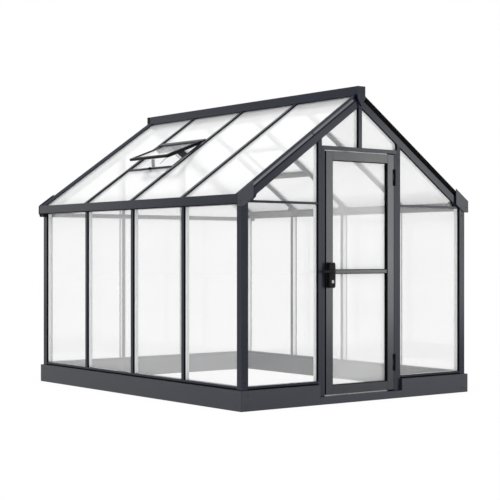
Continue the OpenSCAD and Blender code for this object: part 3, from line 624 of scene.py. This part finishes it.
# left vent: a skirt along the front of the sash, a drip bar at its tip, a ledge on the trimmer, curbs beside
# the opening, a stay plate, a knob and a rod; in mm down the slope, along the ridge and up from the slope
vent = {"hinge": (424, 28.3), "open": math.radians(14),
        "skirt": [(6, 8), (330, 8), (330, -15), (6, -13)], "skirtY": (36.5, 40),
        "tip": [(330, 8), (334, 6), (334, -9), (330, -11)], "tipY": (36.5, 514.5),
        "ledge": [(737, 20), (757, 20), (757, 25), (754, 27), (740, 27), (737, 25)], "ledgeY": (18, 596.5),
        "curb": [(0, 0), (15, 0), (15, 9), (13, 11), (0, 11)], "curbAt": (432, 737, 20),
        "stay": [(-19, -1.5), (19, -1.5), (19, 1.5), (-19, 1.5)],
        "stayEnds": ((747, 273.6, 25), (741, 230, 91)),
        "knob": [(4.0, 15), (9.0, 14.4), (11, 12), (11, 5), (8, 2), (8, -4)], "knobAt": (758, 305, 22),
        "rod": ((742, 46, 96), (700, 237.8, 30)), "rodHalf": 2.2, "rodStations": 6}
downLeft, liftLeft = np.array([-fall, 0, -rise]), np.array([-rise, 0, fall])


# a point of the left slope, in mm down from the apex, along the ridge and up from the slope
def onLeft(down, y, lift):
    return np.array([0, y * mm, at["apex"]]) + (down * downLeft + lift * liftLeft) * mm


cosine, sine = math.cos(vent["open"]), math.sin(vent["open"])
for key, finish in (("skirt", nylon), ("tip", nylon), ("ledge", coat)):
    shape = np.array(vent[key], float)
    if key != "ledge":
        shape = np.array(vent["hinge"]) + shape @ np.array([[cosine, sine], [-sine, cosine]])
    near, far = vent[key + "Y"]
    runs = [(onLeft(0, near, 0), onLeft(0, far, 0), downLeft, liftLeft)]
    straight("leftVent" + key.capitalize(), runs, shape, finish)
upper, lower, seat = vent["curbAt"]
runs = [(onLeft(upper, y / mm, seat), onLeft(lower, y / mm, seat), (0, turn, 0), liftLeft)
        for y, turn in ((half, 1), (pitch - half, -1))]
straight("leftVentCurbs", runs, vent["curb"], nylon)
foot, head = (onLeft(*end) for end in vent["stayEnds"])
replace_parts(straight("ventStayPlate", [(foot, head, (0, 1, 0), downLeft)], vent["stay"], stayGrey),
            "vent_stay")
turned("ventKnob", [onLeft(*vent["knobAt"])], [liftLeft], vent["knob"], nylon, "frame", 20)
ends = [onLeft(*end) for end in vent["rod"]]
along = np.linspace(0, 1, vent["rodStations"])[:, None]
halves = np.full(vent["rodStations"], vent["rodHalf"] * mm)
tube("ventRod", ends[0] * (1 - along) + ends[1] * along, halves, halves, zinc, "frame", power=2, spokes=12)
print("vent parts set")

# door seals: a rubber loop round each of the two panes, that stops just behind the face of the leaf; in mm
doorSeal = {"rail": 60, "behind": 1.5, "wide": 3.2, "lip": 2.4, "shoulder": (4, 1)}
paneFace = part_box("door_panels")[0][1]
left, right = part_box("latch_stile")[1][0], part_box("hinge_stile")[0][0]
midLow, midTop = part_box("door_mid_bar")[0][2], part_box("door_mid_bar")[1][2]
rail = doorSeal["rail"] * mm
railIn = {"low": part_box("door_rails")[0][2] + rail, "top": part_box("door_rails")[1][2] - rail}
frames = [[(left, paneFace, low), (right, paneFace, low), (right, paneFace, top), (left, paneFace, top)]
          for low, top in ((railIn["low"], midLow), (midTop, railIn["top"]))]
depth = (paneFace - stileFace) / mm - doorSeal["behind"]
wide, (lower, upper) = doorSeal["wide"], doorSeal["shoulder"]
outline = [(0, 0), (wide, 0), (wide, depth - lower), (doorSeal["lip"], depth - upper), (0, depth)]
loops("doorSeals", frames, (0, -1, 0), outline, rubber, "door")

# screws: pan heads, their four arms sunk for the driver; places in mm across and up or in from an edge
screw = {"profile": [(0.7, 2.9), (1.5, 2.8), (2.3, 2.6), (2.6, 2.5), (3.6, 1.8), (4.4, 0.7), (4.5, -0.4)],
         "spokes": 16, "arms": 4, "sunk": 1.4, "cap": ((995, 1297), (940, 1300)), "baseIn": 55,
         "baseZ": (32, 96), "studIn": 30, "rafterX": (110, 940), "rafterTop": 30, "postZ": (172, 1240),
         "jambZ": (80, 1600)}
arms = sunkArms(screw["profile"], screw["spokes"], screw["arms"], screw["sunk"])
capLow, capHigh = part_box("gutter_end_caps")
baseIn, studIn, rafterTop = (screw[key] * mm for key in ("baseIn", "studIn", "rafterTop"))
postMid, jambMid = (postX + postFaceX) / 2, (jambIn + jambOut) / 2
frameHeads, baseHeads = [], []
for side in (-1, 1):
    for face in (-1, 1):
        end = capLow[1] if face < 0 else capHigh[1]
        baseHeads += [((side * x * mm, end, z * mm), (0, face, 0)) for x, z in screw["cap"]]
        for z in screw["baseZ"]:
            baseHeads += [((side * baseX, face * (baseY - baseIn), z * mm), (side, 0, 0)),
                          ((side * (baseX - baseIn), face * baseY, z * mm), (0, face, 0))]
    for k in (-1, 0, 1):
        frameHeads += [((side * studFace, k * pitch, z), (side, 0, 0))
                       for z in (sillTop + studIn, eaveLow - studIn)]
        frameHeads += [(onRoof(side, x * mm, k * pitch, rafterTop), (side * rise, 0, fall))
                       for x in screw["rafterX"]]
    frameHeads += [((side * postMid, face * postFaceY, z * mm), (0, face, 0))
                   for z in screw["postZ"] for face in (-1, 1)]
    frameHeads += [((side * jambMid, frameFace, z * mm), (0, -1, 0)) for z in screw["jambZ"]]
turned("frameScrews", *zip(*frameHeads), screw["profile"], coat, "frame", screw["spokes"], arms)
turned("baseScrews", *zip(*baseHeads), screw["profile"], baseCoat, "frame", screw["spokes"], arms)

# lock case: a rounded block, drawn in at its front edge along a quarter round, with a screw near each end
case = {"round": 4.0, "power": 7, "spokes": 56, "stations": 8, "screwIn": 12}
caseLow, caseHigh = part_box("lock_case")
caseX, caseZ = (caseLow[0] + caseHigh[0]) / 2, (caseLow[2] + caseHigh[2]) / 2
roundOff = np.linspace(0, math.pi / 2, case["stations"])
inset = np.concatenate([[0.0], case["round"] * mm * (1 - np.cos(roundOff))])
ahead = np.concatenate([[0.0], caseHigh[1] - caseLow[1] - case["round"] * mm * (1 - np.sin(roundOff))])
path = np.stack([np.full_like(ahead, caseX), caseHigh[1] - ahead, np.full_like(ahead, caseZ)], 1)
halfWide, halfTall = (caseHigh[0] - caseLow[0]) / 2 - inset, (caseHigh[2] - caseLow[2]) / 2 - inset
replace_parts(tube("lockCover", path, halfWide, halfTall, nylon, "door", power=case["power"],
                 spokes=case["spokes"]), "lock_case")
screwZ = (caseLow[2] + case["screwIn"] * mm, caseHigh[2] - case["screwIn"] * mm)
turned("lockScrews", [(caseX, caseLow[1], z) for z in screwZ], [(0, -1, 0)] * 2, screw["profile"], nylon,
       "door", screw["spokes"], arms)

# lock: a collar round the spindle and a slotted key plug
lock = {"collar": [(16, -0.4), (16, 3.0), (15, 4.2), (12.5, 4.6), (11, 3.8), (10.5, -0.4)],
        "plug": [(1.2, 3.2), (3.6, 3.2), (7.2, 3.2), (9.2, 3.2), (10.2, 3.0), (11.0, 2.2), (11.0, -0.4)],
        "spokes": 32, "slotEnds": 2, "slotDeep": 2.0}
leverLow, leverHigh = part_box("lever")
leverZ = (leverLow[2] + leverHigh[2]) / 2
turned("spindleCollar", [(caseX, caseLow[1], leverZ)], [(0, -1, 0)], lock["collar"], nylon, "door",
       lock["spokes"])
keyLow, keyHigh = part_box("key_cylinder")
keyAt = ((keyLow[0] + keyHigh[0]) / 2, caseLow[1], (keyLow[2] + keyHigh[2]) / 2)
slot = sunkArms(lock["plug"], lock["spokes"], lock["slotEnds"], lock["slotDeep"])
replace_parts(turned("keyPlug", [keyAt], [(0, -1, 0)], lock["plug"], plate, "door", lock["spokes"], slot),
            "key_cylinder")

# lever: a rounded section along a neck from the spindle, a quarter-round elbow and a blade that droops by the
# square of its reach; sizes in mm, half width and half height by share of the way
lever = {"barIn": 6.5, "neckIn": 6, "elbow": 10, "gap": 1, "tipIn": 0.5, "droop": 3, "stations": (4, 8, 12),
         "wide": ([0, 0.45, 0.6, 0.93, 0.97, 1], [8, 7, 6, 5.5, 4.6, 2.6]),
         "tall": ([0, 0.4, 0.55, 0.9, 0.97, 1], [8, 9, 10, 8, 7, 4.5])}
barY = leverLow[1] + lever["barIn"] * mm
elbow, gap, droop = (lever[key] * mm for key in ("elbow", "gap", "droop"))
neckCount, bendCount, bladeCount = lever["stations"]
neckY = np.linspace(caseLow[1] + lever["neckIn"] * mm, barY + elbow + gap, neckCount)
bend = np.linspace(0, math.pi / 2, bendCount)
reach = np.linspace(elbow + 2 * gap, caseX - leverLow[0] - lever["tipIn"] * mm, bladeCount)
path = np.stack([
    np.concatenate([np.full_like(neckY, caseX), caseX - elbow * (1 - np.cos(bend)), caseX - reach]),
    np.concatenate([neckY, barY + elbow * (1 - np.sin(bend)), np.full_like(reach, barY)]),
    np.concatenate([np.full(neckCount + bendCount, leverZ), leverZ - droop * (reach / reach[-1]) ** 2])], 1)
share = np.linspace(0, 1, len(path))
wide, tall = (np.interp(share, *lever[key]) * mm for key in ("wide", "tall"))
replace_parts(tube("leverHandle", path, wide, tall, nylon, "lever"), "lever")

# painted shade: thin black strips in the gaps at the two sides of the door, for the shadow in those gaps, in
# mm
gapShade = {"outline": [(0.5, 0), (10, 0), (9.5, 0.8), (1, 0.8)], "doorX": 301, "frameX": 307, "short": 2}
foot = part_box("hinge_stile")[0][2] + gapShade["short"] * mm
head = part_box("hinge_stile")[1][2] - gapShade["short"] * mm
for name, x, y, body in (("latchGapShade", -gapShade["doorX"] * mm, stileFace, "door"),
                         ("hingeGapShade", gapShade["frameX"] * mm, frameFace, "frame")):
    straight(name, [((x, y, foot), (x, y, head), (0, 1, 0), (-1, 0, 0))], gapShade["outline"], rubber, body)

# hinges: slim barrels in three knuckles on folded leaves, the middle one on the door; in mm
hinge = {"x": 304, "y": 1262, "long": 112, "third": 36.9, "pitch": 37.5, "spokes": 20,
         "knuckle": [(2.6, 18.4), (4.2, 18.2), (4.9, 17.4), (4.9, -17.4), (4.2, -18.2), (2.6, -18.4)],
         "doorLeaf": [(-1, 3.2), (0, 5.5), (2, 3.2), (13, 2.4), (14, 0), (0, 0)],
         "frameLeaf": [(-1, 7.0), (2, 9.0), (6, 3.0), (14, 2.4), (15, 0), (3, 0)]}
pinLow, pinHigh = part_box("hinge_pins")
pinZ = [pinLow[2] + hinge["long"] / 2 * mm, pinHigh[2] - hinge["long"] / 2 * mm]
outerZ = [z + step * hinge["pitch"] * mm for z in pinZ for step in (-1, 1)]
axisX, axisY = hinge["x"] * mm, -hinge["y"] * mm


# knuckles at the given heights on the axis of the pins
def knuckles(name, heights, body):
    places = [(axisX, axisY, z) for z in heights]
    return turned(name, places, [(0, 0, 1)] * len(places), hinge["knuckle"], nylon, body, hinge["spokes"])


# leaves as tall as one knuckle, on a face at y and growing to one side
def leafRuns(heights, y, side):
    tall = hinge["third"] / 2 * mm
    return [((axisX, y, z - tall), (axisX, y, z + tall), (side, 0, 0), (0, -1, 0)) for z in heights]


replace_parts(knuckles("hingeBarrels", outerZ, "frame"), "hinge_pins")
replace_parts(knuckles("hingeMids", pinZ, "door"), "hinge_knuckles")
straight("frameLeaves", leafRuns(outerZ, frameFace, 1), hinge["frameLeaf"], coat)
straight("doorLeaves", leafRuns(pinZ, stileFace, -1), hinge["doorLeaf"], doorCoat, "door")
print("door fittings set")

low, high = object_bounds()
